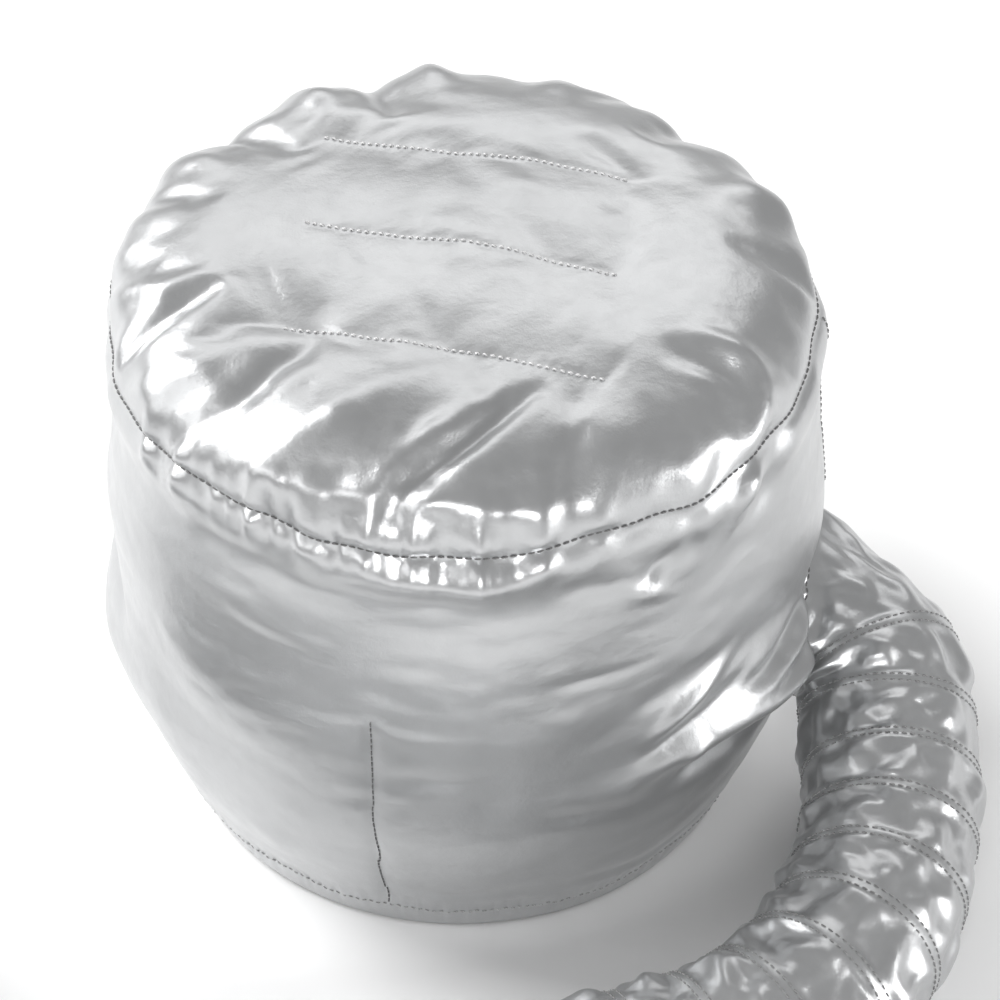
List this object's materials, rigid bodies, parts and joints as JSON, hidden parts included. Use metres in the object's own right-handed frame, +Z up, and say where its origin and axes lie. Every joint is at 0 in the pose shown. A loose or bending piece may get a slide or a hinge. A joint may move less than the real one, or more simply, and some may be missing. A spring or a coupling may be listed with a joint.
{
  "type": "soft bonnet hair dryer hood",
  "caption": "Soft drum-shaped drying bonnet of silver cloth with a drawcord hem, an inner lining and a hooped air hose that ends in an elastic cuff.",
  "frame": {"origin": "centre of the hem's underside, on the surface that the hood stands on", "axes": "+Z up through the crown, +X towards the hose inlet in the side panel"},
  "size_m": [0.5806, 0.4852, 0.2669],
  "materials": {
    "silver_cloth": "aluminised coating on thin woven nylon, satin silver",
    "lining_cloth": "plain thin nylon, matt",
    "sewing_thread": "grey polyester sewing thread",
    "hoop_wire": "drawn spring wire",
    "elastic": "braided white elastic",
    "drawcord": "braided grey cord",
    "grey_plastic": "moulded, fine grain",
    "dark_plastic": "moulded, fine grain",
    "spring_steel": "bright spring wire",
    "eyelet_metal": "rolled and polished"
  },
  "bodies": {
    "hood": {"crown_panel": "silver_cloth", "side_panel": "silver_cloth", "hem_casing": "silver_cloth", "inlet_tape": "silver_cloth", "hose_sleeve": "silver_cloth", "hose_cuff": "silver_cloth", "crown_lining": "lining_cloth", "side_lining": "lining_cloth", "crown_seam_thread": "sewing_thread", "side_seam_thread": "sewing_thread", "quilt_thread_front": "sewing_thread", "quilt_thread_middle": "sewing_thread", "quilt_thread_back": "sewing_thread", "dart_thread_front": "sewing_thread", "dart_thread_left": "sewing_thread", "dart_thread_back": "sewing_thread", "hem_seam_thread": "sewing_thread", "lining_seam_thread": "sewing_thread", "inlet_thread": "sewing_thread", "hoop_threads": "sewing_thread", "cuff_seam_thread": "sewing_thread", "hose_hoops": "hoop_wire", "cuff_elastic": "elastic", "hem_drawcord": "drawcord", "cord_end": "grey_plastic", "hem_eyelet": "eyelet_metal"},
    "cord_lock": {"lock_body": "grey_plastic", "lock_spring": "spring_steel"},
    "lock_button": {"lock_plunger": "dark_plastic"}
  },
  "joints": [
    {"name": "lock_slide", "type": "slide", "parent": "hood", "child": "cord_lock", "axis": [0, 1, 0], "range_m": [-0.005, 0.034]},
    {"name": "lock_press", "type": "slide", "parent": "cord_lock", "child": "lock_button", "axis": [-1, 0, 0], "range_m": [0, 0.003], "stiffness_N_per_m": 400, "springref_m": -0.005, "deforming": ["lock_spring"]}
  ]
}
